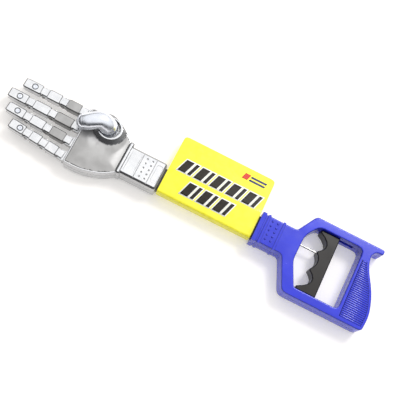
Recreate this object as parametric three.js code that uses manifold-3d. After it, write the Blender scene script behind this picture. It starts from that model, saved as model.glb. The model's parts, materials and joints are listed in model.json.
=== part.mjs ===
// Toy robot-hand grabber, lying on its back with the palm up.
//
// A pistol grip carries a sliding trigger. The trigger draws a steel rod through the arm
// tube, and a yoke in the palm shares that pull between four cords, one for each finger.
// A spring on the rod pushes the yoke back. The thumb is fixed in a socket on the palm.
//
// Frame, in millimetres: +X runs along the arm from the fingers to the grip, +Z points up
// out of the palm, and the origin is the middle of the flat back of the grip's collar.

import * as THREE from 'three';
import { mergeVertices } from 'three/addons/utils/BufferGeometryUtils.js';
import Module from 'manifold-3d';

const wasm = await Module();
wasm.setup();

// ---------------------------------------------------------------- driving dimensions

const MID_Z = 13;               // parting plane, and the height of tube, rod and knuckles
const GAP = 0.3;                // clearance between pieces that touch
const WALL = 2.4;               // wall of the moulded shells
const FAR = 60;                 // reach of a cutting block past whatever it cuts

const HANDLE_Z = 26;            // grip thickness
const PALM_Z = 22;              // palm thickness
const WRIST_Z = 26;             // wrist thickness
const ARM_HALF_WIDTH = 17.4;    // collar and wrist, from the arm's axis

const TRAVEL = 18;              // trigger stroke towards the grip
const ROD_Y = 6.5;              // the rod runs beside the arm's axis
const ROD_RADIUS = 1.25;
const ROD_END = 64;             // inside the trigger

// Corners are [x, y, length of the corner that is rounded off].
const HANDLE_CORNERS = [
  [-22, -ARM_HALF_WIDTH, 2.7], [-22, ARM_HALF_WIDTH, 2.7], [22.1, ARM_HALF_WIDTH, 2.5],
  [36.9, 42.9, 4], [125, 42.9, 2.8], [125, 36, 2.8], [116.5, 35.8, 3], [112, 29.5, 3.5],
  [114.5, 16, 8], [130.5, -12.5, 12], [136.4, -36, 9], [134.4, -56.4, 5],
  [33.5, -56.4, 6], [16.9, -ARM_HALF_WIDTH, 4],
];
const WINDOW = { front: 32, rear: 101, top: 32.4, bottom: -45.3 };
const WINDOW_CORNERS = [
  [WINDOW.front, -17, 5], [WINDOW.front + 0.6, 15.6, 8], [44.5, WINDOW.top, 6],
  [WINDOW.rear, WINDOW.top, 7], [WINDOW.rear - 1, WINDOW.bottom, 6],
  [45, WINDOW.bottom, 2],
];
const HANDLE_SCREWS = [[39.5, 37.2], [108, 37.4], [114, 2], [122, -46], [37.5, -50.6], [17, -9.5]];

// The trigger's front edge: a lip, then scoops for the fingers between blunt points.
const TRIGGER = {
  rear: 72.3, clearance: 0.4, halfThick: 8.5,
  scoops: [
    { from: [48.8, 28.6], deepest: [60.6, 17.6], to: [53.8, 6.6] },
    { from: [53.8, 4.6], deepest: [58.4, -5.4], to: [54, -15.6] },
    { from: [53.6, -17.8], deepest: [61, -29.4], to: [47.4, -40.8] },
  ],
  tabStart: 51, tabEnd: 71, tabHalf: 3.2, tabReach: 3.4,
};

const TUBE = { start: -163, end: 7.5, width: 29, height: 14, corner: 5, wall: 1.3 };

const CARD = {
  start: -142.4, end: -23.6, thickness: 0.6,
  fold: -16, flat: 17, edge: 62.8, halfDepth: 8,
};

const WRIST = { start: -192, end: -144.6 };
const PALM_START = -253;
const PALM_CORNERS = [
  [PALM_START, -35, 2.7], [-231, -35.2, 9], [-206, -28.2, 12], [-189, -15.5, 3],
  [-189, 17.5, 3], [-197.5, 26.5, 5], [-215, 36.4, 7], [-227, 42.4, 5],
  [-238, 41.4, 3.4], [-243.5, 38.6, 1.8], [-247, 39.8, 1.8], [PALM_START, 38.6, 2.7],
];
const PALM_SCREWS = [[-199, -14], [-243, -29.5], [-238, 35]];

// The raised socket on the palm, and the peg under the thumb that drops into it.
const SOCKET = { x: -223, y: 24.5, outer: [21.4, 20.6], rim: [15, 13.6], bore: [12.6, 12.2], rimZ: 26.6 };
const FOOT_RADIUS = 4;
// The thumb's centre line with its radius at each point: out of the socket, up, and over the palm.
const THUMB = [
  { at: [-224.5, 24.5, 22.6], radius: 10.6 },
  { at: [-225.5, 25, 26.5], radius: 10.8 },
  { at: [-229.5, 25.8, 31], radius: 10.6 },
  { at: [-235, 25.2, 34.2], radius: 10.4 },
  { at: [-241, 21.6, 34.8], radius: 10.2 },
  { at: [-247, 17.6, 34], radius: 9.9 },
  { at: [-251.4, 15.4, 32.6], radius: 9.4 },
];

const KNUCKLE_X = -260;
const FINGER_WIDTH = 12;
const FINGER_HEIGHT = 12;
// slant: degrees that the finger leans towards the thumb's side; links: hinge to hinge, then to the tip
const FINGERS = [
  { name: 'index', y: 31.2, slant: 0, links: [25.6, 24.8, 27.2] },
  { name: 'middle', y: 11, slant: 1.2, links: [30, 28.8, 28.4] },
  { name: 'ring', y: -8, slant: 3, links: [27, 26, 27.8] },
  { name: 'pinky', y: -26.8, slant: 5.4, links: [22.6, 21.4, 24.4] },
];
// A tongue with a flat top turns between two ears, close to the hollow end of the link before it.
const HINGE = {
  tongueHalf: 4.2, tongueRadius: 7.1, tongueTop: 5.8, shoulder: 4.1, socketRadius: 7.6,
  earInner: 4.5, earOuter: 5.6, earRadius: 3.6, pinRadius: 1, holeRadius: 1.3, headRadius: 1.8,
};

// Screws that close the shells, driven from the back, and the trim screws in the fingertips.
const SCREW = { head: 2.6, headZ: 0.6, headHeight: 1.8, shank: 1.05, tip: 19 };
const TIP_SCREW = { back: 14, seat: 3.7, seatDepth: 1, head: 3.1, shank: 1.1, length: 7 };

const YOKE = { x: -221, length: 4, halfWidth: 10, halfHeight: 4 };
const BULKHEAD_X = -188;        // wrist wall that the spring pushes against

// ---------------------------------------------------------------- materials

const bluePlastic = new THREE.MeshStandardMaterial({ color: 0x2f3bd8, roughness: 0.3, metalness: 0 });
const blackPlastic = new THREE.MeshStandardMaterial({ color: 0x2a2624, roughness: 0.4, metalness: 0 });
const silverPaint = new THREE.MeshStandardMaterial({ color: 0xb9b7b9, roughness: 0.35, metalness: 0.7 });
const brightSilver = new THREE.MeshStandardMaterial({ color: 0xd9dce6, roughness: 0.12, metalness: 0.95 });
const steel = new THREE.MeshStandardMaterial({ color: 0xb8b8bc, roughness: 0.25, metalness: 1 });
const yellowCard = new THREE.MeshStandardMaterial({ color: 0xfdf224, roughness: 0.5, metalness: 0 });
const cord = new THREE.MeshStandardMaterial({ color: 0xe8e4d8, roughness: 0.6, metalness: 0 });

// ---------------------------------------------------------------- shape helpers

/** A counter-clockwise outline from [x, y, cut] corners, each rounded over its cut length. */
function roundedOutline(corners, Outline = THREE.Shape) {
  const clockwise = THREE.ShapeUtils.isClockWise(corners.map(([x, y]) => ({ x, y })));
  const ordered = clockwise ? corners.toReversed() : corners;
  const points = ordered.map(([x, y]) => new THREE.Vector2(x, y));
  const outline = new Outline();
  ordered.forEach(([x, y, cut], i) => {
    const before = points.at(i - 1).clone().sub(points[i]).setLength(cut).add(points[i]);
    const after = points[(i + 1) % points.length].clone().sub(points[i]).setLength(cut).add(points[i]);
    if (i === 0) outline.moveTo(before.x, before.y);
    else outline.lineTo(before.x, before.y);
    if (cut > 0) outline.quadraticCurveTo(x, y, after.x, after.y);
  });
  outline.closePath();
  return outline;
}

/** The same corners for a cavity: those tighter than the wall is thick are left sharp. */
function cavityOutline(corners) {
  return roundedOutline(corners.map(([x, y, cut]) => [x, y, cut > 1.5 * WALL ? cut : 0]));
}

/** A rectangle's four corners, all rounded by the same cut. */
function rectangleCorners(x0, x1, y0, y1, cut) {
  return [[x0, y0, cut], [x0, y1, cut], [x1, y1, cut], [x1, y0, cut]];
}

/** A lug seen from the side: a round nose about x, and a flat end that far past it. */
function lugOutline(x, radius, reach) {
  const side = Math.sign(reach);
  const outline = new THREE.Shape();
  outline.moveTo(x + reach, -radius);
  outline.lineTo(x, -radius);
  outline.absarc(x, 0, radius, -Math.PI / 2, Math.PI / 2, side > 0);
  outline.lineTo(x + reach, radius);
  outline.closePath();
  return outline;
}

/** A three.js geometry as a solid that can be joined and cut. */
function solid(geometry) {
  geometry.deleteAttribute('normal');
  geometry.deleteAttribute('uv');
  const merged = mergeVertices(geometry, 1e-4);
  return new wasm.Manifold(new wasm.Mesh({
    numProp: 3,
    vertProperties: new Float32Array(merged.attributes.position.array),
    triVerts: new Uint32Array(merged.index.array),
  }));
}

/** An extruded outline between two levels, with rounded rims and an optional inset. */
function extruded(outline, low, high, { rim = 0, rimSteps = 1, inset = 0, curveSegments = 3 } = {}) {
  const geometry = new THREE.ExtrudeGeometry(outline, {
    depth: high - low - 2 * rim,
    bevelEnabled: rim > 0 || inset > 0,
    bevelThickness: rim,
    bevelSize: rim,
    bevelOffset: -rim - inset,
    bevelSegments: rim > 0 ? rimSteps : 0,
    curveSegments,
  });
  geometry.translate(0, 0, low + rim);
  return geometry;
}

/** The outline lies in the plan (x, y) and is extruded upwards. */
const plate = (outline, low, high, options) => solid(extruded(outline, low, high, options));

/** The outline lies in a side view (x, z) and is extruded across, along y. */
function sidePlate(outline, low, high, options) {
  const geometry = extruded(outline, -high, -low, options);
  return solid(geometry.rotateX(Math.PI / 2));
}

/** The outline lies in a cross-section (y, z) and is extruded along the arm, along x. */
function lengthwise(outline, low, high, options) {
  const turn = new THREE.Matrix4().makeBasis(
    new THREE.Vector3(0, 1, 0), new THREE.Vector3(0, 0, 1), new THREE.Vector3(1, 0, 0));
  return solid(extruded(outline, low, high, options).applyMatrix4(turn));
}

function block(x0, x1, y0, y1, z0, z1) {
  const geometry = new THREE.BoxGeometry(x1 - x0, y1 - y0, z1 - z0);
  return solid(geometry.translate((x0 + x1) / 2, (y0 + y1) / 2, (z0 + z1) / 2));
}

/** A cylinder along z, or a cone when the top radius differs. */
function post(x, y, z0, z1, radius, { topRadius = radius, sides = 10 } = {}) {
  const geometry = new THREE.CylinderGeometry(topRadius, radius, z1 - z0, sides);
  return solid(geometry.rotateX(Math.PI / 2).translate(x, y, (z0 + z1) / 2));
}

/** A cylinder along y through (x, z). */
function crossBar(x, z, y0, y1, radius, sides = 10) {
  const geometry = new THREE.CylinderGeometry(radius, radius, y1 - y0, sides);
  return solid(geometry.translate(x, (y0 + y1) / 2, z));
}

/** A cylinder along x through (y, z). */
function arrow(x0, x1, y, z, radius, sides = 10) {
  const geometry = new THREE.CylinderGeometry(radius, radius, x1 - x0, sides);
  return solid(geometry.rotateZ(Math.PI / 2).translate((x0 + x1) / 2, y, z));
}

const joined = (solids) => solids.reduce((whole, piece) => whole.add(piece));
const cut = (whole, solids) => solids.reduce((rest, piece) => rest.subtract(piece), whole);

/** A solid's surface as a three.js geometry. */
function geometryOf(piece) {
  const { vertProperties, triVerts, numProp } = piece.getMesh();
  const positions = new Float32Array((vertProperties.length / numProp) * 3);
  for (let i = 0; i < positions.length / 3; i += 1) {
    positions.set(vertProperties.subarray(i * numProp, i * numProp + 3), i * 3);
  }
  const geometry = new THREE.BufferGeometry();
  geometry.setAttribute('position', new THREE.BufferAttribute(positions, 3));
  geometry.setIndex(new THREE.BufferAttribute(new Uint32Array(triVerts), 1));
  return geometry;
}

/** Adds a solid to a group as a named mesh. */
function addPiece(parent, name, piece, material) {
  const geometry = geometryOf(piece);
  geometry.computeVertexNormals();
  const mesh = new THREE.Mesh(geometry, material);
  mesh.name = name;
  parent.add(mesh);
}

// ---------------------------------------------------------------- shells and their screws

/** Solid posts at each screw, through both halves of a shell. */
function screwPosts(places, top) {
  return places.map(([x, y]) => post(x, y, WALL / 2, top - WALL / 2, 4.2));
}

/** The hole for each screw: head recess, clearance hole, then the pilot hole. */
function screwHoles(places) {
  const underHead = SCREW.headZ + SCREW.headHeight + GAP;
  return places.flatMap(([x, y]) => [
    post(x, y, -1, underHead, SCREW.head + GAP),
    post(x, y, underHead - 0.1, SCREW.tip + GAP, SCREW.shank + GAP),
  ]);
}

/** A pan-head screw driven from the back, with a cross recess. */
function shellScrew([x, y]) {
  const { head, headZ, headHeight, shank, tip } = SCREW;
  const slots = [
    block(x - 1.7, x + 1.7, y - 0.35, y + 0.35, headZ - 1, headZ + 0.9),
    block(x - 0.35, x + 0.35, y - 1.7, y + 1.7, headZ - 1, headZ + 0.9),
  ];
  const body = post(x, y, headZ, headZ + headHeight, head - 0.5, { topRadius: head })
    .add(post(x, y, headZ + headHeight - 0.1, tip, shank, { sides: 8 }));
  return cut(body, slots);
}

/** Splits a hollow body at the parting plane into its front and back halves. */
function halves(body) {
  const above = block(-FAR * 10, FAR * 10, -FAR * 3, FAR * 3, MID_Z + GAP / 2, FAR);
  const below = block(-FAR * 10, FAR * 10, -FAR * 3, FAR * 3, -FAR, MID_Z - GAP / 2);
  return { front: body.intersect(above), back: body.intersect(below) };
}

/** Cross-section of the arm tube, grown by a margin. */
function tubeSection(margin, Outline = THREE.Shape) {
  const w = TUBE.width / 2 + margin;
  const h = TUBE.height / 2 + margin;
  const corners = rectangleCorners(-w, w, MID_Z - h, MID_Z + h, TUBE.corner + margin);
  return roundedOutline(corners, Outline);
}

/** A wall across the inside of the arm, with its opening for the tube or for the rod alone. */
function crossWall(x0, x1, opening) {
  const inside = ARM_HALF_WIDTH - WALL / 2;
  const wall = block(x0, x1, -inside, inside, WALL / 2, HANDLE_Z - WALL / 2);
  if (opening === 'tube') return wall.subtract(lengthwise(tubeSection(GAP), x0 - 1, x1 + 1));
  return wall.subtract(arrow(x0 - 1, x1 + 1, ROD_Y, MID_Z, ROD_RADIUS + GAP));
}

// ---------------------------------------------------------------- grip and trigger

/** Bands round the collar and two columns of raised dots on its front. */
function collarTrim() {
  const bands = [[-22, -17, 0.8], [-14.6, -11.6, 0.8], [4.4, 7.2, 0.6]].map(([x0, x1, proud]) => {
    const half = ARM_HALF_WIDTH + proud;
    return plate(roundedOutline(rectangleCorners(x0, x1, -half, half, 0.6)), 0, HANDLE_Z + proud);
  });
  const dots = [-7.8, -0.9].flatMap((x) => [12.4, 6.5, 1, -4.6, -10.2]
    .map((y) => post(x, y, HANDLE_Z - 1, HANDLE_Z + 0.8, 1.6, { topRadius: 0.9, sides: 8 })));
  return [...bands, ...dots];
}

/** Trigger slots through the top and bottom bars of the window. */
function triggerSlots() {
  const { tabStart, tabEnd, tabHalf } = TRIGGER;
  const start = tabStart - GAP;
  const end = tabEnd + TRAVEL + 1.5;
  const low = MID_Z - tabHalf - GAP;
  const high = MID_Z + tabHalf + GAP;
  return [
    block(start, end, WINDOW.top - 1, WINDOW.top + WALL + 0.5, low, high),
    block(start, end, WINDOW.bottom - WALL - 0.5, WINDOW.bottom + 1, low, high),
  ];
}

function buildHandle(parent) {
  const outline = roundedOutline(HANDLE_CORNERS);
  const cavityPlan = cavityOutline(HANDLE_CORNERS);
  const window = roundedOutline(WINDOW_CORNERS, THREE.Path);
  outline.holes.push(window);
  cavityPlan.holes.push(window);
  const outside = joined([plate(outline, 0, HANDLE_Z, { rim: 1.8, rimSteps: 2 }), ...collarTrim()]);
  const cavity = cut(plate(cavityPlan, WALL, HANDLE_Z - WALL, { inset: WALL }), [
    crossWall(1, 3.4, 'tube'), crossWall(8.5, 10.9, 'rod'),
    ...screwPosts(HANDLE_SCREWS, HANDLE_Z),
  ]);
  const openings = [
    lengthwise(tubeSection(GAP), -23, -15),
    arrow(12, WINDOW.front + 6, ROD_Y, MID_Z, ROD_RADIUS + GAP),
    ...triggerSlots(), ...screwHoles(HANDLE_SCREWS),
  ];
  const { front, back } = halves(cut(outside, [cavity, ...openings]));
  addPiece(parent, 'handle_front_shell', front, bluePlastic);
  addPiece(parent, 'handle_back_shell', back, bluePlastic);
  HANDLE_SCREWS.forEach((place, i) => {
    addPiece(parent, `handle_screw_${i + 1}`, shellScrew(place), steel);
  });
}

function triggerOutline() {
  const top = WINDOW.top - TRIGGER.clearance;
  const bottom = WINDOW.bottom + TRIGGER.clearance;
  const outline = new THREE.Shape();
  outline.moveTo(TRIGGER.rear, bottom);
  outline.lineTo(TRIGGER.rear, top);
  outline.lineTo(TRIGGER.scoops[0].from[0], top);
  TRIGGER.scoops.forEach(({ from, deepest, to }) => {
    const control = deepest.map((d, k) => 2 * d - (from[k] + to[k]) / 2);
    outline.lineTo(...from);
    outline.quadraticCurveTo(...control, ...to);
  });
  outline.lineTo(TRIGGER.scoops.at(-1).to[0], bottom);
  outline.closePath();
  return outline;
}

function buildTrigger(parent) {
  const { rear, halfThick, tabStart, tabEnd, tabHalf, tabReach } = TRIGGER;
  const body = plate(triggerOutline(), MID_Z - halfThick, MID_Z + halfThick, { rim: 0.9, curveSegments: 6 });
  const tabs = [
    block(tabStart, tabEnd, WINDOW.top - 3, WINDOW.top + tabReach, MID_Z - tabHalf, MID_Z + tabHalf),
    block(tabStart, tabEnd, WINDOW.bottom - tabReach, WINDOW.bottom + 3, MID_Z - tabHalf, MID_Z + tabHalf),
  ];
  const rodHole = arrow(40, ROD_END + GAP, ROD_Y, MID_Z, ROD_RADIUS + GAP);
  addPiece(parent, 'trigger', cut(joined([body, ...tabs]), [rodHole]), blackPlastic);
}

// ---------------------------------------------------------------- arm: tube, card, rod, spring

function buildArm(parent) {
  const section = tubeSection(0);
  section.holes.push(tubeSection(-TUBE.wall, THREE.Path));
  addPiece(parent, 'arm_tube', lengthwise(section, TUBE.start, TUBE.end), blackPlastic);
}

/** The card's fold and its two panels, which meet in a glued strip along the far edge. */
function cardSection(margin, Outline = THREE.Shape) {
  const { fold, flat, edge, halfDepth, thickness } = CARD;
  const depth = halfDepth - margin;
  const glued = margin > 0 ? edge - 9 : edge;
  const tip = margin > 0 ? 0.05 : thickness;
  return roundedOutline([
    [fold + margin, MID_Z - depth, 3], [fold + margin, MID_Z + depth, 3],
    [flat, MID_Z + depth, 4], [glued, MID_Z + tip, 0.02],
    [glued, MID_Z - tip, 0.02], [flat, MID_Z - depth, 4],
  ], Outline);
}

function buildCard(parent) {
  const section = cardSection(0);
  section.holes.push(cardSection(CARD.thickness, THREE.Path));
  const wrap = lengthwise(section, CARD.start, CARD.end);
  const corners = rectangleCorners(CARD.start, CARD.end, CARD.fold - FAR, CARD.edge, 5);
  addPiece(parent, 'header_card', wrap.intersect(plate(roundedOutline(corners), 0, HANDLE_Z)), yellowCard);
}

function buildPull(parent) {
  const { x, length, halfWidth, halfHeight } = YOKE;
  const blind = x + 1;
  addPiece(parent, 'pull_rod', arrow(blind + GAP, ROD_END, ROD_Y, MID_Z, ROD_RADIUS), steel);

  const bar = roundedOutline(rectangleCorners(x, x + length, ROD_Y - halfWidth, ROD_Y + halfWidth, 1));
  const boss = arrow(x, x + length + 2, ROD_Y, MID_Z, 3);
  const rodHole = arrow(blind, x + FAR, ROD_Y, MID_Z, ROD_RADIUS + GAP);
  const yoke = plate(bar, MID_Z - halfHeight, MID_Z + halfHeight).add(boss).subtract(rodHole);
  addPiece(parent, 'yoke', yoke, blackPlastic);

  FINGERS.forEach(({ name, y }, i) => {
    const near = new THREE.Vector3(x - GAP, ROD_Y + 9 - 6 * i, MID_Z);
    const far = new THREE.Vector3(PALM_START + 4, y * 0.85, MID_Z);
    const path = new THREE.LineCurve3(far, near);
    const section = new THREE.Shape().absarc(0, 0, 0.6, 0, Math.PI * 2);
    const geometry = new THREE.ExtrudeGeometry(section, { steps: 1, extrudePath: path, curveSegments: 4 });
    addPiece(parent, `tendon_${name}`, solid(geometry), cord);
  });
}

class Helix extends THREE.Curve {
  constructor(start, end, radius, turns) {
    super();
    Object.assign(this, { start, end, radius, turns });
  }

  getPoint(t, target = new THREE.Vector3()) {
    const angle = t * this.turns * Math.PI * 2;
    const x = this.start + (this.end - this.start) * t;
    return target.set(x, ROD_Y + this.radius * Math.cos(angle), MID_Z + this.radius * Math.sin(angle));
  }
}

function buildSpring(parent) {
  const wire = 0.45;
  const turns = 8;
  const start = YOKE.x + YOKE.length + wire + GAP;
  const path = new Helix(start, BULKHEAD_X - wire - GAP, 4.2, turns);
  const section = new THREE.Shape().absarc(0, 0, wire, 0, Math.PI * 2);
  const geometry = new THREE.ExtrudeGeometry(section, {
    steps: turns * 8, extrudePath: path, curveSegments: 3,
  });
  addPiece(parent, 'return_spring', solid(geometry), steel);
}

// ---------------------------------------------------------------- palm, wrist and thumb

/** An upright elliptical frustum, for the raised socket that holds the thumb. */
function ellipsePost([rx0, ry0], [rx1, ry1], z0, z1) {
  const geometry = new THREE.CylinderGeometry(1, 1, z1 - z0, 24);
  geometry.rotateX(Math.PI / 2);
  const position = geometry.attributes.position;
  for (let i = 0; i < position.count; i += 1) {
    const top = position.getZ(i) > 0;
    position.setX(i, position.getX(i) * (top ? rx1 : rx0) + SOCKET.x);
    position.setY(i, position.getY(i) * (top ? ry1 : ry0) + SOCKET.y);
    position.setZ(i, top ? z1 : z0);
  }
  return solid(geometry);
}

/** Moves a solid made with its hinge at the origin to a finger's knuckle, turned to its slant. */
function atKnuckle(piece, { y, slant }) {
  const place = new THREE.Matrix4().makeRotationZ(-THREE.MathUtils.degToRad(slant));
  place.setPosition(KNUCKLE_X, y, MID_Z);
  return solid(geometryOf(piece).applyMatrix4(place));
}

/** Each knuckle: a block with a hollow end, and ears on each side of the finger's first tongue. */
function knuckles() {
  const reach = PALM_START - KNUCKLE_X + 1.5;
  const half = FINGER_WIDTH / 2;
  return FINGERS.map((finger) => {
    const stub = block(0, reach, -half, half, -half, half).subtract(hingeSocket());
    return atKnuckle(joined([stub, ...ears(0, reach)]).subtract(hingeHole()), finger);
  });
}

/** Grooves, dimples and shallow panels on the front of the wrist. */
function wristTrim() {
  const inner = ARM_HALF_WIDTH - 2.4;
  const top = WRIST_Z + 1;
  const grooves = [-173.6, -157.1].map((x) => block(x - 0.4, x + 0.4, -FAR, FAR, WRIST_Z - 0.5, top));
  const dimples = [-167.9, -161.1].flatMap((x) => [11.6, 5.8, 0.1, -5.6, -11.3]
    .map((y) => post(x, y, WRIST_Z - 0.9, top, 0.8, { topRadius: 1.6, sides: 8 })));
  const dish = new THREE.Shape();
  dish.moveTo(-inner + 1, top);
  dish.lineTo(-inner + 1, WRIST_Z);
  dish.quadraticCurveTo(0, WRIST_Z - 2, inner - 1, WRIST_Z);
  dish.lineTo(inner - 1, top);
  const panel = plate(roundedOutline(rectangleCorners(-154.6, -147.4, -11, 11, 2)), WRIST_Z - 0.4, top);
  return [...grooves, ...dimples, lengthwise(dish, -187.5, -175), panel];
}

function buildPalm(parent) {
  const wristCorners = rectangleCorners(WRIST.start, WRIST.end, -ARM_HALF_WIDTH, ARM_HALF_WIDTH, 3.3);
  const cuff = roundedOutline(rectangleCorners(-194.4, -189, -19.6, 21.6, 2.4));
  const outside = joined([
    plate(roundedOutline(PALM_CORNERS), 0, PALM_Z, { rim: 1.8, rimSteps: 2 }),
    plate(roundedOutline(wristCorners), 0, WRIST_Z, { rim: 2.2 }),
    plate(cuff, 0, WRIST_Z + 1, { rim: 1.6 }),
    ellipsePost(SOCKET.outer, SOCKET.rim, PALM_Z - 2, SOCKET.rimZ)
      .intersect(plate(roundedOutline(PALM_CORNERS), 0, FAR)),
  ]);
  const cavity = cut(joined([
    plate(cavityOutline(PALM_CORNERS), WALL, PALM_Z - WALL, { inset: WALL }),
    plate(cavityOutline(wristCorners), WALL, WRIST_Z - WALL, { inset: WALL }),
    block(-197, -188.5, -13, 13, WALL, PALM_Z - WALL),
  ]), [
    crossWall(BULKHEAD_X, BULKHEAD_X + WALL, 'rod'),
    crossWall(TUBE.start - GAP - WALL, TUBE.start - GAP, 'rod'),
    crossWall(-158.6, -158.6 + WALL, 'tube'),
    ...screwPosts(PALM_SCREWS, PALM_Z),
  ]);
  const openings = [
    cavity,
    lengthwise(tubeSection(GAP), -152, WRIST.end + 1),
    ellipsePost(SOCKET.bore, SOCKET.bore, PALM_Z, SOCKET.rimZ + 1),
    post(SOCKET.x, SOCKET.y, MID_Z, PALM_Z + 1, FOOT_RADIUS + GAP),
    thumbHorn(4 * GAP, 1),
    ...FINGERS.map((finger) => atKnuckle(hingeSocket(), finger)),
    ...wristTrim(), ...screwHoles(PALM_SCREWS),
  ];
  const cordHoles = FINGERS.map(({ y }) => arrow(PALM_START - 5, PALM_START + 4, y, MID_Z, 1.2, 8));
  const { front, back } = halves(cut(joined([cut(outside, openings), ...knuckles()]), cordHoles));
  addPiece(parent, 'palm_front_shell', front, silverPaint);
  addPiece(parent, 'palm_back_shell', back, silverPaint);
  PALM_SCREWS.forEach((place, i) => {
    addPiece(parent, `palm_screw_${i + 1}`, shellScrew(place), steel);
  });
}

/**
 * A round horn along the thumb's centre line, level at its base and with a rounded tip.
 * Grown by a margin and dropped, it clears the socket's rim where the thumb bends over it.
 */
function thumbHorn(margin = 0, drop = 0) {
  const path = new THREE.CatmullRomCurve3(THUMB.map(({ at }) => new THREE.Vector3(...at)));
  const radii = new THREE.SplineCurve(THUMB.map(({ radius }, i) => new THREE.Vector2(i, radius)));
  const sides = 16;
  const rings = 12;
  const tipRings = 4;
  const profile = [new THREE.Vector2(0, 0)];
  for (let i = 0; i <= rings; i += 1) profile.push(new THREE.Vector2(1, i / rings));
  for (let i = 1; i < tipRings; i += 1) profile.push(new THREE.Vector2(1, 1 + i / tipRings));
  profile.push(new THREE.Vector2(0, 2));
  const geometry = new THREE.LatheGeometry(profile, sides);
  const position = geometry.attributes.position;
  for (let i = 0; i < position.count; i += 1) {
    const along = position.getY(i);
    const t = Math.min(along, 1);
    const round = Math.max(along - 1, 0) * Math.PI / 2;
    const radius = radii.getPoint(t).y + margin;
    const lean = THREE.MathUtils.smoothstep(t, 0, 0.4);
    const tangent = new THREE.Vector3(0, 0, 1).lerp(path.getTangent(t), lean).normalize();
    const side = new THREE.Vector3(0.35, 1, 0).cross(tangent).normalize();
    const other = tangent.clone().cross(side);
    const centre = path.getPoint(t);
    centre.addScaledVector(tangent, Math.sin(round) * radius);
    centre.addScaledVector(side, -position.getX(i) * radius * Math.cos(round));
    centre.addScaledVector(other, position.getZ(i) * radius * Math.cos(round));
    position.setXYZ(i, centre.x, centre.y, centre.z - drop);
  }
  return solid(geometry);
}

function buildThumb(parent) {
  const foot = post(SOCKET.x, SOCKET.y, PALM_Z - 5, PALM_Z + 2, FOOT_RADIUS);
  addPiece(parent, 'thumb', thumbHorn().add(foot), brightSilver);
}

// ---------------------------------------------------------------- fingers

/** The room that a hinge at x needs in the end of the link before it. */
function hingeSocket(x = 0) {
  return crossBar(x, 0, -FINGER_WIDTH, FINGER_WIDTH, HINGE.socketRadius, 20);
}

function hingeHole(x = 0) {
  return crossBar(x, 0, -FAR, FAR, HINGE.holeRadius);
}

/** Two ears on a hinge at x, which reach back to the link that carries them. */
function ears(x, reach) {
  const { earInner, earOuter, earRadius } = HINGE;
  return [[earInner, earOuter], [-earOuter, -earInner]]
    .map(([low, high]) => sidePlate(lugOutline(x, earRadius, reach), low, high));
}

/** The tongue round the hinge at the origin, level with the link's faces. */
function tongue() {
  const { tongueHalf, tongueRadius, tongueTop, shoulder } = HINGE;
  const barrel = crossBar(0, 0, -tongueHalf, tongueHalf, tongueRadius, 20);
  return barrel.intersect(block(-FAR, shoulder + 1, -FAR, FAR, -tongueTop, tongueTop));
}

/** A link in its own frame: hinge at the origin, fingertip towards +x, palm side towards +z. */
function fingerLink(length, isTip) {
  const { shoulder, socketRadius } = HINGE;
  const half = FINGER_WIDTH / 2;
  const deep = FINGER_HEIGHT / 2;
  const end = isTip ? length : length - 3;
  const plan = roundedOutline([
    [shoulder, -half, 1.5], [shoulder, half, 1.5],
    [end, half, isTip ? 3.6 : 1.5], [end, -half, isTip ? 3.6 : 1.5],
  ]);
  const side = roundedOutline([
    [-FAR, -deep, 1], [-FAR, deep, 1], [end, deep, isTip ? 3.4 : 0], [end, -deep, isTip ? 3.4 : 0],
  ]);
  const body = plate(plan, -deep, deep, { rim: 1, curveSegments: 2 }).intersect(sidePlate(side, -FAR, FAR));
  const pocketEnd = isTip ? end - 4 : length - socketRadius - WALL;
  const holes = [hingeHole(), block(shoulder + 2.4, pocketEnd, -3.6, 3.6, -FAR, 2.5)];
  if (isTip) return cut(body.add(tongue()), [...holes, ...tipScrewHoles(length)]);
  const hollowed = body.subtract(hingeSocket(length));
  const lugs = ears(length, -socketRadius - 1);
  return cut(joined([hollowed, tongue(), ...lugs]), [...holes, hingeHole(length)]);
}

function tipScrewHoles(length) {
  const x = length - TIP_SCREW.back;
  const face = FINGER_HEIGHT / 2;
  return [
    post(x, 0, face - TIP_SCREW.seatDepth, face + 1, TIP_SCREW.seat, { sides: 14 }),
    post(x, 0, -face, face, TIP_SCREW.shank + GAP),
  ];
}

/** Round-headed screw in the fingertip's seat, with a small centre recess. */
function tipScrew(length) {
  const x = length - TIP_SCREW.back;
  const floor = FINGER_HEIGHT / 2 - TIP_SCREW.seatDepth + GAP;
  const { head, shank } = TIP_SCREW;
  const body = post(x, 0, floor, floor + 0.8, head, { topRadius: head - 0.5, sides: 14 })
    .add(post(x, 0, floor - TIP_SCREW.length, floor + 0.1, shank, { sides: 8 }));
  return body.subtract(post(x, 0, floor + 0.3, floor + 2, 0.9, { sides: 6 }));
}

/** A headed pin along y, turned from one profile. */
function hingePin(headed) {
  const { pinRadius, headRadius, earOuter } = HINGE;
  const reach = headed ? earOuter + GAP : earOuter;
  const profile = [new THREE.Vector2(0, -reach), new THREE.Vector2(pinRadius, -reach)];
  if (headed) {
    const outer = reach + 0.7;
    profile[0].y = -outer;
    profile.splice(1, 0, new THREE.Vector2(headRadius, -outer), new THREE.Vector2(headRadius, -reach));
    profile.push(new THREE.Vector2(pinRadius, reach), new THREE.Vector2(headRadius, reach));
    profile.push(new THREE.Vector2(headRadius, outer), new THREE.Vector2(0, outer));
  } else {
    profile.push(new THREE.Vector2(pinRadius, reach), new THREE.Vector2(0, reach));
  }
  return solid(new THREE.LatheGeometry(profile, 10));
}

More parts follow.
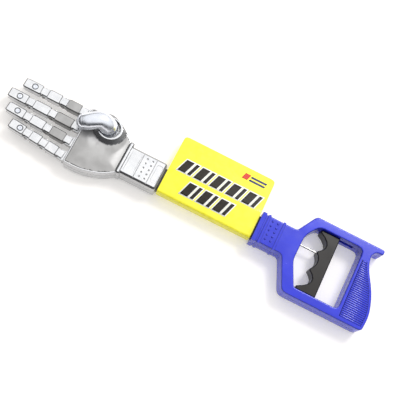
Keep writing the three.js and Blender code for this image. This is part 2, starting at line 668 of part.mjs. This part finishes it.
function buildFinger(parent, { name, y, slant, links }) {
  const finger = new THREE.Group();
  finger.position.set(KNUCKLE_X, y, MID_Z);
  finger.rotation.z = Math.PI - THREE.MathUtils.degToRad(slant);
  parent.add(finger);
  let hinge = finger;
  ['proximal', 'middle', 'distal'].forEach((level, i) => {
    const isTip = level === 'distal';
    addPiece(hinge, `${name}_${level}`, fingerLink(links[i], isTip), silverPaint);
    addPiece(hinge, `${name}_pin_${i + 1}`, hingePin(i > 0), steel);
    if (isTip) addPiece(hinge, `${name}_tip_screw`, tipScrew(links[i]), brightSilver);
    const next = new THREE.Group();
    next.position.x = links[i];
    hinge.add(next);
    hinge = next;
  });
}

// ---------------------------------------------------------------- assembly

const group = new THREE.Group();
buildHandle(group);
buildTrigger(group);
buildArm(group);
buildCard(group);
buildPull(group);
buildSpring(group);
buildPalm(group);
buildThumb(group);
FINGERS.forEach((finger) => buildFinger(group, finger));

export default group;
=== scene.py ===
"""Looks for a toy robot-hand grabber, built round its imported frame.

The axes are the frame's own: +X runs along the arm from the fingers to the grip, and +Z points up out
of the palm. The toy lies on its back on the floor. Lengths are in metres; the thumb's centre line and
the card's print are listed in millimetres, and scaled by MM.
"""

import json
import math

import bmesh
import bpy
from mathutils import Matrix, Vector
from mathutils.bvhtree import BVHTree
from mathutils.geometry import delaunay_2d_cdt


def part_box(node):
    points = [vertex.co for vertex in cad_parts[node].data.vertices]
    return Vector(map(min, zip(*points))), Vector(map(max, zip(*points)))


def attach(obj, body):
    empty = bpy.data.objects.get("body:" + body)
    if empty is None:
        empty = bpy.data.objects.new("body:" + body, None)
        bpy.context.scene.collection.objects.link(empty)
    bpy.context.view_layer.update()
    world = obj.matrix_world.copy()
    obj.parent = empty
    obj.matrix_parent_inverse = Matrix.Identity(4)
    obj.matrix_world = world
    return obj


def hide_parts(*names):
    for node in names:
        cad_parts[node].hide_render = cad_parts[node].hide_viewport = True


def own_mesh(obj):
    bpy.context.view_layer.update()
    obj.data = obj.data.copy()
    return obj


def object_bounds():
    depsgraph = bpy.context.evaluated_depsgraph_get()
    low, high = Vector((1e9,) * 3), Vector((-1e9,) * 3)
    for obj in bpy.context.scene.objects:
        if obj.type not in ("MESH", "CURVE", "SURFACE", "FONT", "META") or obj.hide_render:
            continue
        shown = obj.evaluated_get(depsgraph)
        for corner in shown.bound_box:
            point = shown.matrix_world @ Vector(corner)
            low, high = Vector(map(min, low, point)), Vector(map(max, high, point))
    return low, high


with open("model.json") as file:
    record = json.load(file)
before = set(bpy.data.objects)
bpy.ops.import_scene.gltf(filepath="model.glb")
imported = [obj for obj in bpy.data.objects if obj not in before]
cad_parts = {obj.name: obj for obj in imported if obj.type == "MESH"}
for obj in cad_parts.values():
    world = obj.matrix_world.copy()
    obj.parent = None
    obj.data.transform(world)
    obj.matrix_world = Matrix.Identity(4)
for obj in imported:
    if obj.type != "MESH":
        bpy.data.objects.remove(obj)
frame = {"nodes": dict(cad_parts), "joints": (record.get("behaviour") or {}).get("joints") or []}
CAD_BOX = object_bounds()

MM = 0.001
FINGERS = ["index", "middle", "ring", "pinky"]
LEVELS = ["proximal", "middle", "distal"]
PALM_TOP = 22 * MM
GRIP_TOP = 26 * MM
SHOULDER = 4.15 * MM  # from a finger's hinge to the wide part of its link
SAME_PLACE = 0.002 * MM  # vertices closer than this are one
RECESS_REACH = 1.6 * MM  # how far the painted shade of gaps and dimples looks for a wall
SHELL_ANGLE = 43  # degrees: edges that turn more are rounded, and the socket's flank turns 44
ALONG = Vector((1, 0, 0))
ACROSS = Vector((0, 1, 0))
UP = Vector((0, 0, 1))


# ---------------------------------------------------------------- camera, floor and light


def add_camera():
    """Looks down at the toy from its near side, turned so that the arm runs down to the right."""
    tilt = math.radians(17.5)
    roll = math.radians(26.8)
    aim = Vector((-93.5, -3.9, 26)) * MM
    distance = 923.4 * MM
    back = Vector((0, -math.sin(tilt), math.cos(tilt)))
    level = Vector((0, math.cos(tilt), math.sin(tilt)))
    right = Vector((1, 0, 0)) * math.cos(roll) + level * math.sin(roll)
    data = bpy.data.cameras.new("camera")
    data.sensor_width = 36
    data.lens = 72.9
    camera = bpy.data.objects.new("camera", data)
    camera.matrix_world = Matrix((right, back.cross(right), back)).transposed().to_4x4()
    camera.location = aim + back * distance
    bpy.context.scene.collection.objects.link(camera)
    bpy.context.scene.camera = camera


def add_world():
    """A white studio, brightest overhead and behind the toy, and dim low down on its near side."""
    toward_light = Vector((0.15, 0.38, 0.91)).normalized()
    dim = (0.07, 0.07, 0.075, 1)
    white = (1, 1, 1, 1)
    world = bpy.data.worlds.new("studio")
    world.use_nodes = True
    nodes, links = world.node_tree.nodes, world.node_tree.links
    background = nodes["Background"]
    coordinates = nodes.new("ShaderNodeTexCoord")
    height = nodes.new("ShaderNodeVectorMath")
    height.operation = "DOT_PRODUCT"
    height.inputs[1].default_value = toward_light
    ramp = nodes.new("ShaderNodeValToRGB")
    ramp.color_ramp.interpolation = "EASE"
    stops = ramp.color_ramp.elements
    stops[0].position, stops[0].color = 0.12, dim
    stops[1].position, stops[1].color = 0.62, white
    links.new(coordinates.outputs["Generated"], height.inputs[0])
    links.new(height.outputs["Value"], ramp.inputs["Fac"])
    links.new(ramp.outputs["Color"], background.inputs["Color"])
    background.inputs["Strength"].default_value = 1.05
    bpy.context.scene.world = world
    bpy.context.scene.view_settings.view_transform = "Standard"


def add_lamp(name, energy, size, offset):
    """A square soft light at an offset from the middle of the toy, aimed at it."""
    middle = (CAD_BOX[0] + CAD_BOX[1]) / 2
    data = bpy.data.lights.new(name, "AREA")
    data.energy = energy
    data.size = size
    lamp = bpy.data.objects.new(name, data)
    lamp.location = middle + Vector(offset)
    lamp.rotation_euler = (-Vector(offset)).to_track_quat("-Z", "Y").to_euler()
    bpy.context.scene.collection.objects.link(lamp)


def add_floor():
    """A pale floor just below the toy, which glows a little so that shadows stay soft."""
    width, drop = 8, 0.1 * MM
    bpy.ops.mesh.primitive_plane_add(size=width, location=(0, 0, -drop))
    floor = bpy.context.object
    floor.name = "floor"
    material, shader = new_material("floor_white", roughness=0.7)
    shader.inputs["Base Color"].default_value = (0.84, 0.81, 0.78, 1)
    shader.inputs["Specular IOR Level"].default_value = 0.2
    shader.inputs["Emission Color"].default_value = (1, 1, 1, 1)
    shader.inputs["Emission Strength"].default_value = 0.3
    floor.data.materials.append(material)


# ---------------------------------------------------------------- materials


def new_material(name, roughness=0.4, metallic=0.0, coat=0.0):
    """A material with its principled shader."""
    material = bpy.data.materials.new(name)
    material.use_nodes = True
    shader = material.node_tree.nodes["Principled BSDF"]
    shader.inputs["Roughness"].default_value = roughness
    shader.inputs["Metallic"].default_value = metallic
    shader.inputs["Coat Weight"].default_value = coat
    shader.inputs["Coat Roughness"].default_value = 0.08
    return material, shader


def noise_node(material, size, stretch=(1, 1, 1), detail=3.0):
    """Noise in the object's own coordinates, with features of about the given size in metres."""
    nodes, links = material.node_tree.nodes, material.node_tree.links
    coordinates = nodes.new("ShaderNodeTexCoord")
    mapping = nodes.new("ShaderNodeMapping")
    mapping.inputs["Scale"].default_value = [1 / (size * s) for s in stretch]
    texture = nodes.new("ShaderNodeTexNoise")
    texture.inputs["Scale"].default_value = 1
    texture.inputs["Detail"].default_value = detail
    links.new(coordinates.outputs["Object"], mapping.inputs["Vector"])
    links.new(mapping.outputs["Vector"], texture.inputs["Vector"])
    return texture.outputs["Fac"]


def tint(material, shader, factor, low, high, span=(0.35, 0.65)):
    """Base colour between two colours, by a factor."""
    nodes, links = material.node_tree.nodes, material.node_tree.links
    ramp = nodes.new("ShaderNodeValToRGB")
    stops = ramp.color_ramp.elements
    stops[0].position, stops[0].color = span[0], (*low, 1)
    stops[1].position, stops[1].color = span[1], (*high, 1)
    links.new(factor, ramp.inputs["Fac"])
    links.new(ramp.outputs["Color"], shader.inputs["Base Color"])


def roughen(material, shader, factor, low, high):
    """Roughness between two values, by a noise factor, which stays mostly near its middle."""
    lowest_noise, highest_noise = 0.3, 0.7
    nodes, links = material.node_tree.nodes, material.node_tree.links
    span = nodes.new("ShaderNodeMapRange")
    span.inputs["From Min"].default_value = lowest_noise
    span.inputs["From Max"].default_value = highest_noise
    span.inputs["To Min"].default_value = low
    span.inputs["To Max"].default_value = high
    links.new(factor, span.inputs["Value"])
    links.new(span.outputs["Result"], shader.inputs["Roughness"])


def emboss(material, shader, factor, depth):
    """Surface relief of the given depth in metres."""
    nodes, links = material.node_tree.nodes, material.node_tree.links
    bump = nodes.new("ShaderNodeBump")
    bump.inputs["Distance"].default_value = depth
    links.new(factor, bump.inputs["Height"])
    links.new(bump.outputs["Normal"], shader.inputs["Normal"])


def paint_slope_shade(material, shader, stops):
    """Painted shade: scales the colour down by how flat a face lies, so that sloping faces such as rims and
    chamfers read darker. Stops are pairs, (0 side wall to 1 flat, scale).
    """
    nodes, links = material.node_tree.nodes, material.node_tree.links
    colour = shader.inputs["Base Color"].links[0].from_socket
    coordinates = nodes.new("ShaderNodeTexCoord")
    split = nodes.new("ShaderNodeSeparateXYZ")
    flatness = nodes.new("ShaderNodeMath")
    flatness.operation = "ABSOLUTE"
    ramp = nodes.new("ShaderNodeValToRGB")
    elements = ramp.color_ramp.elements
    while len(elements) < len(stops):
        elements.new(0.5)
    for element, (position, scale) in zip(elements, stops):
        element.position = position
        element.color = (scale, scale, scale, 1)
    product = nodes.new("ShaderNodeVectorMath")
    product.operation = "MULTIPLY"
    links.new(coordinates.outputs["Normal"], split.inputs[0])
    links.new(split.outputs["Z"], flatness.inputs[0])
    links.new(flatness.outputs[0], ramp.inputs["Fac"])
    links.new(colour, product.inputs[0])
    links.new(ramp.outputs["Color"], product.inputs[1])
    links.new(product.outputs["Vector"], shader.inputs["Base Color"])


def paint_recess_shade(material, shader, reach, darkest):
    """Painted shade: scales the colour down in gaps, grooves and dimples, where shadow falls."""
    closed, open_air = 0.35, 0.85
    nodes, links = material.node_tree.nodes, material.node_tree.links
    colour = shader.inputs["Base Color"].links[0].from_socket
    openness = nodes.new("ShaderNodeAmbientOcclusion")
    openness.samples = 8
    openness.inputs["Distance"].default_value = reach
    span = nodes.new("ShaderNodeMapRange")
    span.inputs["From Min"].default_value = closed
    span.inputs["From Max"].default_value = open_air
    span.inputs["To Min"].default_value = darkest
    product = nodes.new("ShaderNodeVectorMath")
    product.operation = "SCALE"
    links.new(openness.outputs["AO"], span.inputs["Value"])
    links.new(colour, product.inputs[0])
    links.new(span.outputs["Result"], product.inputs["Scale"])
    links.new(product.outputs["Vector"], shader.inputs["Base Color"])


def plastic(name, low, high, roughness, coat, shade_stops, shine=0.5, grain=0.7 * MM, relief=0.002 * MM):
    """Moulded plastic: faint flow marks in the colour, painted shade on sloping faces and in recesses, scuffs
    in the gloss, a fine moulded grain.
    """
    material, shader = new_material(name, coat=coat)
    shader.inputs["Specular IOR Level"].default_value = shine
    tint(material, shader, noise_node(material, 22 * MM, stretch=(3, 1, 1)), low, high)
    paint_slope_shade(material, shader, shade_stops)
    paint_recess_shade(material, shader, RECESS_REACH, darkest=0.3)
    roughen(material, shader, noise_node(material, 14 * MM, detail=6), *roughness)
    emboss(material, shader, noise_node(material, grain), relief)
    return material


def metal(name, low, high, roughness, shade_stops=None, metallic=1.0, mottle=6 * MM, relief=0.001 * MM,
          stretch=(1, 1, 1)):
    """Bright metal or metallic paint: clouded colour, uneven gloss and a fine grain; given slope stops, also
    painted shade on sloping faces and in recesses.
    """
    material, shader = new_material(name, metallic=metallic)
    tint(material, shader, noise_node(material, mottle, stretch, detail=5), low, high)
    # painted shade on sloping faces and in recesses, where slope stops are given
    if shade_stops:
        paint_slope_shade(material, shader, shade_stops)
        paint_recess_shade(material, shader, RECESS_REACH, darkest=0.12)
    roughen(material, shader, noise_node(material, 8 * MM, stretch, detail=6), *roughness)
    emboss(material, shader, noise_node(material, 0.6 * MM, stretch), relief)
    return material


def card_stock(name):
    """Coated yellow card: faint fibres and a soft sheen."""
    material, shader = new_material(name, coat=0.25)
    tint(material, shader, noise_node(material, 9 * MM, detail=4), (0.93, 0.86, 0.012), (0.99, 0.93, 0.035))
    roughen(material, shader, noise_node(material, 1.2 * MM, stretch=(4, 1, 1)), 0.38, 0.55)
    emboss(material, shader, noise_node(material, 0.5 * MM, stretch=(3, 1, 1)), 0.01 * MM)
    return material


def ink(name, low, high):
    """Printed ink, slightly uneven."""
    material, shader = new_material(name)
    shader.inputs["Specular IOR Level"].default_value = 0.25
    tint(material, shader, noise_node(material, 2 * MM, detail=5), low, high)
    roughen(material, shader, noise_node(material, 1 * MM), 0.35, 0.5)
    return material


def woven(name):
    """Braided cord: fine diagonal strands."""
    strand_scale = 900
    material, shader = new_material(name, roughness=0.8)
    nodes, links = material.node_tree.nodes, material.node_tree.links
    coordinates = nodes.new("ShaderNodeTexCoord")
    strands = nodes.new("ShaderNodeTexWave")
    strands.bands_direction = "DIAGONAL"
    strands.inputs["Scale"].default_value = strand_scale
    strands.inputs["Distortion"].default_value = 2
    links.new(coordinates.outputs["Object"], strands.inputs["Vector"])
    tint(material, shader, strands.outputs["Fac"], (0.42, 0.40, 0.34), (0.82, 0.80, 0.72), (0.2, 0.8))
    emboss(material, shader, strands.outputs["Fac"], 0.1 * MM)
    return material


def make_materials():
    """Every material of the toy, by the name that the builders below use."""
    silver = ((0.80, 0.81, 0.83), (0.88, 0.885, 0.90))
    return {
        # the slope stops paint shade on rims, chamfers and side walls, with painted shade in recesses as well
        "blue": plastic("blue_plastic", (0.012, 0.024, 0.58), (0.018, 0.032, 0.66), (0.20, 0.28), 0.1,
                        shade_stops=[(0.2, 1), (0.5, 0.3), (0.85, 0.3), (0.97, 1)]),
        "trigger": plastic("trigger_plastic", (0.007, 0.005, 0.004), (0.012, 0.009, 0.007), (0.3, 0.42), 0,
                           shade_stops=[(0.8, 0.3), (0.98, 1)], shine=0.35),
        "tube": plastic("tube_plastic", (0.008, 0.008, 0.009), (0.016, 0.015, 0.016), (0.3, 0.45), 0.1,
                        shade_stops=[(0.0, 0.8), (1.0, 1)]),
        "silver": metal("silver_paint", *silver, (0.20, 0.28),
                        shade_stops=[(0.25, 0.72), (0.5, 0.36), (0.85, 0.36), (0.97, 1)], metallic=0.85,
                        mottle=9 * MM),
        "link": metal("link_silver_paint", *silver, (0.20, 0.28),
                      shade_stops=[(0.25, 0.8), (0.5, 0.16), (0.88, 0.16), (0.975, 1)], metallic=0.85,
                      mottle=9 * MM),
        "satin": metal("satin_silver_paint", (0.40, 0.395, 0.39), (0.48, 0.475, 0.47), (0.33, 0.44),
                       shade_stops=[(0.25, 0.8), (0.5, 0.4), (0.85, 0.4), (0.975, 1)], metallic=0.8,
                       mottle=14 * MM),
        "bright": metal("bright_silver", (0.80, 0.83, 0.90), (0.88, 0.91, 0.97), (0.20, 0.30), mottle=9 * MM),
        "steel": metal("steel", (0.42, 0.41, 0.40), (0.62, 0.61, 0.60), (0.18, 0.34),
                       stretch=(12, 1, 1), mottle=1.5 * MM),
        "card": card_stock("printed_card"),
        "black_ink": ink("black_ink", (0.010, 0.007, 0.004), (0.022, 0.016, 0.010)),
        "white_ink": ink("white_ink", (0.86, 0.86, 0.84), (0.95, 0.95, 0.93)),
        "red_ink": ink("red_ink", (0.60, 0.05, 0.03), (0.72, 0.08, 0.05)),
        "navy_ink": ink("navy_ink", (0.03, 0.04, 0.12), (0.05, 0.06, 0.18)),
        "cord": woven("cord"),
    }


# ---------------------------------------------------------------- CAD pieces that keep their shape


def soften(name, material, width, segments=2, angle=30):
    """Gives a CAD piece its material, edges rounded where they turn by more than angle, and shading."""
    piece = frame["nodes"][name]
    piece.data.polygons.foreach_set("use_smooth", [True] * len(piece.data.polygons))
    piece.data.materials.clear()
    piece.data.materials.append(material)
    weld = piece.modifiers.new("weld", "WELD")
    weld.merge_threshold = SAME_PLACE
    flat = piece.modifiers.new("flat", "DECIMATE")
    flat.decimate_type = "DISSOLVE"
    flat.angle_limit = math.radians(0.6)
    bevel = piece.modifiers.new("bevel", "BEVEL")
    bevel.width = width
    bevel.segments = segments
    bevel.limit_method = "ANGLE"
    bevel.angle_limit = math.radians(angle)
    bevel.use_clamp_overlap = False
    bevel.miter_outer = "MITER_ARC"
    normals = piece.modifiers.new("normals", "WEIGHTED_NORMAL")
    normals.keep_sharp = False
    return piece


def hinge_x(name):
    """How far along the arm a hinge lies."""
    return next(joint["pos_m"][0] for joint in frame["joints"] if joint["name"] == name)


def grey_beyond(link, x, material):
    """Gives a link a second, darker material past x, so that only its tongue stays bright: painted shade on
    the link's wide part.
    """
    link.data.materials.append(material)
    for face in link.data.polygons:
        face.material_index = int(face.center.x < x)


def dress_cad_pieces(paint):
    """Looks of every CAD piece that isn't rebuilt below."""
    for shell in ("handle_front_shell", "handle_back_shell"):
        soften(shell, paint["blue"], 0.2 * MM, angle=SHELL_ANGLE)
    for shell in ("palm_front_shell", "palm_back_shell"):
        soften(shell, paint["silver"], 0.15 * MM, angle=SHELL_ANGLE)
    for screw in [n for n in frame["nodes"] if "_screw_" in n]:
        soften(screw, paint["steel"], 0.12 * MM)
    soften("trigger", paint["trigger"], 0.3 * MM)
    soften("arm_tube", paint["tube"], 0.2 * MM, angle=50)
    soften("header_card", paint["card"], 0.12 * MM, angle=50)
    soften("yoke", paint["trigger"], 0.2 * MM)
    for finger in FINGERS:
        soften(f"tendon_{finger}", paint["cord"], 0.05 * MM, angle=60)
        soften(f"{finger}_tip_screw", paint["bright"], 0.12 * MM)
        for number, level in enumerate(LEVELS, start=1):
            link = soften(f"{finger}_{level}", paint["link"], 0.25 * MM)
            # the satin paint past the shoulder is rougher, and its darker colour is painted shade
            if level == "proximal" and finger != "pinky":
                grey_beyond(link, hinge_x(f"{finger}_knuckle") - SHOULDER, paint["satin"])
            soften(f"{finger}_pin_{number}", paint["steel"], 0.1 * MM)


# ---------------------------------------------------------------- pieces built here


def finish_piece(name, mesh, material, body, slot, *stands_for):
    """Turns a bmesh into a named piece that rides on a body."""
    bmesh.ops.recalc_face_normals(mesh, faces=mesh.faces)
    for face in mesh.faces:
        face.smooth = True
    data = bpy.data.meshes.new(name)
    mesh.to_mesh(data)
    mesh.free()
    data.materials.append(material)
    piece = bpy.data.objects.new(name, data)
    bpy.context.scene.collection.objects.link(piece)
    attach(piece, body)
    if stands_for:
        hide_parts(*stands_for)
    return piece


def surface_of(node):
    """A CAD piece's surface, for rays."""
    data = frame["nodes"][node].data
    triangles = [tuple(face.vertices) for face in data.polygons]
    return BVHTree.FromPolygons([v.co for v in data.vertices], triangles)


def drop_onto(surface, x, y):
    """Height of a CAD surface above (x, y), or None past its edge."""
    hit = surface.ray_cast(Vector((x, y, 1)), -UP)[0]
    return hit.z if hit else None


def ring(centre, one, other, radius, sides):
    """Points of a circle round a centre, in the plane of two directions."""
    turns = [2 * math.pi * i / sides for i in range(sides)]
    return [centre + (one * math.cos(a) + other * math.sin(a)) * radius for a in turns]


def loft(mesh, rings):
    """Joins rings of points into a closed skin. Each ring has the same number of points."""
    skins = [[mesh.verts.new(point) for point in points] for points in rings]
    for one, two in zip(skins, skins[1:]):
        for i in range(len(one)):
            j = (i + 1) % len(one)
            mesh.faces.new((one[i], one[j], two[j], two[i]))
    mesh.faces.new(skins[0])
    mesh.faces.new(skins[-1])


def thicken(sheet, thickness):
    """Gives a sheet its thickness, on one side of its face."""
    solid = sheet.modifiers.new("thickness", "SOLIDIFY")
    solid.thickness = thickness
    solid.offset = -1


def smoothstep(value, low, high):
    """0 up to low, 1 from high, and an even S between them."""
    t = min(max((value - low) / (high - low), 0), 1)
    return t * t * (3 - 2 * t)


def along_curve(points, t):
    """A point on the smooth curve through evenly spaced points, t from 0 to 1."""
    place = t * (len(points) - 1)
    k = min(int(place), len(points) - 2)
    u = place - k
    a, b, c, d = (points[min(max(k + i, 0), len(points) - 1)] for i in (-1, 0, 1, 2))
    return 0.5 * (2 * b + (c - a) * u + (2 * a - 5 * b + 4 * c - d) * u**2 + (3 * b - a - 3 * c + d) * u**3)


# The thumb's centre line in millimetres, with its radius last, from the socket to the tip.
THUMB = [
    (-224.5, 24.5, 22.6, 10.6), (-225.5, 25, 26.5, 10.8), (-229.5, 25.8, 31, 10.6), (-235, 25.2, 34.2, 10.4),
    (-241, 21.6, 34.8, 10.2), (-247, 17.6, 34, 9.9), (-251.4, 15.4, 32.6, 9.4),
]


def build_thumb(material):
    """A smooth plated horn that leaves the socket upright and bends over the palm."""
    sides, steps, tip_steps = 64, 60, 16
    near = 0.02  # share of the line to each side of a point that gives its direction there
    upright = 0.4  # share of the line over which the horn turns from upright into that direction
    square_to = Vector((0.35, 1, 0))
    line = [Vector(row) * MM for row in THUMB]
    rings = []
    for step in range(steps + tip_steps):
        t = min(step / steps, 1)
        round_off = max(step - steps, 0) / tip_steps * math.pi / 2
        x, y, z, radius = along_curve(line, t)
        ahead = along_curve(line, min(t + near, 1)) - along_curve(line, max(t - near, 0))
        tangent = UP.lerp(ahead.xyz.normalized(), smoothstep(t, 0, upright)).normalized()
        side = square_to.cross(tangent).normalized()
        centre = Vector((x, y, z)) + tangent * math.sin(round_off) * radius
        rings.append(ring(centre, side, tangent.cross(side), radius * math.cos(round_off), sides))
    mesh = bmesh.new()
    loft(mesh, rings)
    finish_piece("thumb_plated", mesh, material, "frame", "bright_silver", "thumb")


def flat_outline(node, level):
    """The edges round a CAD piece's flat face at a level, as pairs of plan points."""
    flat_enough, level_enough = 0.999, 0.05 * MM
    mesh = bmesh.new()
    mesh.from_mesh(frame["nodes"][node].data)
    bmesh.ops.remove_doubles(mesh, verts=mesh.verts, dist=SAME_PLACE)
    flat = {f for f in mesh.faces
            if f.normal.z > flat_enough and abs(f.calc_center_median().z - level) < level_enough}
    edges = [e for e in mesh.edges if sum(f in flat for f in e.link_faces) == 1]
    pairs = [tuple(v.co.xy.copy() for v in edge.verts) for edge in edges]
    mesh.free()
    return pairs


def edge_distance(point, pairs):
    """Distance from a plan point to the nearest of the edges."""
    tiny = 1e-18

    def to_edge(a, b):
        run = b - a
        t = min(max((point - a).dot(run) / max(run.length_squared, tiny), 0), 1)
        return (a + run * t - point).length

    return min(to_edge(a, b) for a, b in pairs)


def inside(point, pairs):
    """Even-odd test of a plan point against the edges."""
    crossings = 0
    for a, b in pairs:
        if (a.y > point.y) != (b.y > point.y):
            crossings += a.x + (point.y - a.y) / (b.y - a.y) * (b.x - a.x) > point.x
    return crossings % 2 == 1


def cut_edges(pairs, pitch):
    """Points along the edges, no further apart than the pitch, and the edges between them."""
    points = []
    edges = []
    for a, b in pairs:
        cuts = max(1, math.ceil((b - a).length / pitch))
        edges += [(len(points) + i, len(points) + i + 1) for i in range(cuts)]
        points += [a.lerp(b, i / cuts) for i in range(cuts + 1)]
    return points, edges


def points_within(pairs, pitch, margin):
    """A staggered grid of plan points inside the edges, a margin or more away from them."""
    lows = Vector((min(a.x for a, b in pairs), min(a.y for a, b in pairs)))
    highs = Vector((max(a.x for a, b in pairs), max(a.y for a, b in pairs)))
    columns = int((highs.x - lows.x) / pitch)
    rows = int((highs.y - lows.y) / pitch)
    grid = [lows + Vector((i + 0.5 * (j % 2), j)) * pitch for i in range(columns) for j in range(rows)]
    return [point for point in grid if inside(point, pairs) and edge_distance(point, pairs) > margin]


def build_palm_face(material):
    """The crowned satin face of the palm, inside its brighter rim."""
    crown, crown_reach, pitch, margin = 1.6 * MM, 18 * MM, 1.6 * MM, 0.5 * MM
    clearance, thickness, same_point = 0.02 * MM, 0.5 * MM, 1e-7
    pairs = flat_outline("palm_front_shell", PALM_TOP)
    points, edges = cut_edges(pairs, pitch)
    points += points_within(pairs, pitch, margin)
    places, _, faces, *_ = delaunay_2d_cdt(points, edges, [], 0, same_point)
    mesh = bmesh.new()
    verts = []
    for place in places:
        rise = crown * math.sin(smoothstep(edge_distance(place, pairs), 0, crown_reach) * math.pi / 2)
        verts.append(mesh.verts.new((place.x, place.y, PALM_TOP + clearance + rise)))
    for face in faces:
        middle = sum((places[i] for i in face), Vector((0, 0))) / len(face)
        if inside(middle, pairs):
            mesh.faces.new([verts[i] for i in face])
    bmesh.ops.delete(mesh, geom=[v for v in mesh.verts if not v.link_faces], context="VERTS")
    skin = finish_piece("palm_face", mesh, material, "frame", "silver_paint")
    thicken(skin, thickness)


def build_spring(material):
    """A fine coil on the rod, in the place of the CAD spring."""
    low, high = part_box("return_spring")
    wire, coils, sides, steps = 0.45 * MM, 8, 10, 24
    centre = (low + high) / 2
    radius = (high.z - low.z) / 2 - wire
    start, end = low.x + wire, high.x - wire
    rings = []
    for step in range(coils * steps + 1):
        turn = 2 * math.pi * step / steps
        out = Vector((0, math.cos(turn), math.sin(turn)))
        middle = Vector((start + (end - start) * step / (coils * steps), centre.y, centre.z)) + out * radius
        rings.append(ring(middle, out, ALONG, wire, sides))
    mesh = bmesh.new()
    loft(mesh, rings)
    coil = finish_piece("spring_coil", mesh, material, "frame", "steel", "return_spring")
    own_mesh(coil)


def build_rod(material):
    """The drawn steel rod, with rounded ends."""
    low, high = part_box("pull_rod")
    sides = 32
    centre = (low + high) / 2
    radius = (high.z - low.z) / 2
    ends = [(0, 0.6), (0.3 * MM, 0.9), (0.6 * MM, 1)]  # how far in from the end, share of the radius
    profile = [(low.x + inset, share) for inset, share in ends]
    profile += [(high.x - inset, share) for inset, share in reversed(ends)]
    rings = []
    for x, share in profile:
        rings.append(ring(Vector((x, centre.y, centre.z)), ACROSS, UP, radius * share, sides))
    mesh = bmesh.new()
    loft(mesh, rings)
    rod = finish_piece("steel_rod", mesh, material, "trigger_pull", "steel", "pull_rod")
    rod.modifiers.new("normals", "WEIGHTED_NORMAL")


def rib_section(x, y, width, height):
    """A rib's rounded outline at x, sunk a little into the grip."""
    sink, cuts = 0.1 * MM, 6
    arc = [math.pi * i / cuts for i in range(cuts + 1)]
    top = [Vector((x, y + width / 2 * math.cos(a), GRIP_TOP + height * math.sin(a))) for a in arc]
    bottom = [Vector((x, y + side * width / 2, GRIP_TOP - sink)) for side in (-1, 1)]
    return top + bottom


def build_grip_ribs(material):
    """Fine cross ribs on the front of the grip, from beside the window to just short of its back."""
    start, lowest, rows, pitch = 104 * MM, -50.5 * MM, 30, 2.4 * MM
    width, height, end_height = 2.3 * MM, 0.55 * MM, 0.05
    taper, set_back, step = 1.2 * MM, 1.6 * MM, 0.25 * MM
    flat_level = GRIP_TOP - 0.05 * MM
    surface = surface_of("handle_front_shell")
    mesh = bmesh.new()
    for row in range(rows):
        y = lowest + row * pitch
        end = start
        while (drop_onto(surface, end + step, y) or 0) > flat_level:
            end += step
        end -= set_back
        if end - start < 4 * taper:
            continue
        shape = ((start, end_height), (start + taper, 1), (end - taper, 1), (end, end_height))
        loft(mesh, [rib_section(x, y, width, height * share) for x, share in shape])
    finish_piece("grip_ribs", mesh, material, "frame", "blue_plastic")


# ---------------------------------------------------------------- the card's print


def patch(mesh, surface, corners, lift, cells=8):
    """A thin printed shape between four plan corners, laid on a surface."""
    a, b, c, d = (Vector(corner) * MM for corner in corners)
    grid = []
    for i in range(cells + 1):
        row = []
        for j in range(cells + 1):
            u, v = i / cells, j / cells
            point = a.lerp(b, u).lerp(d.lerp(c, u), v)
            row.append(mesh.verts.new((point.x, point.y, drop_onto(surface, point.x, point.y) + lift)))
        grid.append(row)
    for i in range(cells):
        for j in range(cells):
            mesh.faces.new((grid[i][j], grid[i + 1][j], grid[i + 1][j + 1], grid[i][j + 1]))


def slanted(x, y, width, height, grow=0.0):
    """Corners of a slanted bar in millimetres, grown all round."""
    lean = 0.32
    low, high = y - grow, y + height + grow
    left, right = x - grow, x + width + grow
    foot, top = -lean * grow, lean * (height + grow)
    return [(left + foot, low), (right + foot, low), (right + top, high), (left + top, high)]


def print_layer(name, surface, shapes, lift, material):
    """One printed colour: all its shapes, a hair above the card."""
    thickness = 0.04 * MM
    mesh = bmesh.new()
    for corners in shapes:
        patch(mesh, surface, corners, lift)
    layer = finish_piece(name, mesh, material, "frame", "printed_card")
    thicken(layer, thickness)


def bar_rows():
    """Two rows of generic slanted bars, wide and narrow by turns: (x, y, width, height) in mm."""
    height, wide, narrow = 17, 9.6, 4.2
    pair_pitch, narrow_start = 20.5, 12.4
    bars = []
    for left, y, bar_pairs in ((-133, 18.5, 5), (-118, -6, 3)):
        for number in range(bar_pairs):
            x = left + number * pair_pitch
            bars += [(x, y, wide, height), (x + narrow_start, y, narrow, height)]
    return bars


def print_card(paint):
    """A generic print: slanted bars with white edges, a slanted red block and two navy rules."""
    low_lift, high_lift, edge = 0.06 * MM, 0.10 * MM, 1.3
    rule_length, rule_width = 20, 2.6
    surface = surface_of("header_card")
    bars = bar_rows()
    outlines = [slanted(*bar, grow=edge) for bar in bars]
    print_layer("card_print_white", surface, outlines, low_lift, paint["white_ink"])
    print_layer("card_print_black", surface, [slanted(*bar) for bar in bars], high_lift, paint["black_ink"])
    block = slanted(-62, 47, 7, 8)
    rules = [slanted(x, y, rule_length, rule_width) for x, y in ((-52, 51.5), (-53, 47))]
    print_layer("card_print_red", surface, [block], low_lift, paint["red_ink"])
    print_layer("card_print_navy", surface, rules, low_lift, paint["navy_ink"])


# ---------------------------------------------------------------- scene


def main():
    """The camera, the stage and every piece of the toy."""
    add_camera()
    add_world()
    add_floor()
    add_lamp("key", energy=12, size=0.5, offset=(0.45, 0.9, 1.3))
    paint = make_materials()
    dress_cad_pieces(paint)
    build_thumb(paint["bright"])
    build_palm_face(paint["satin"])
    build_spring(paint["steel"])
    build_rod(paint["steel"])
    build_grip_ribs(paint["blue"])
    print_card(paint)


main()
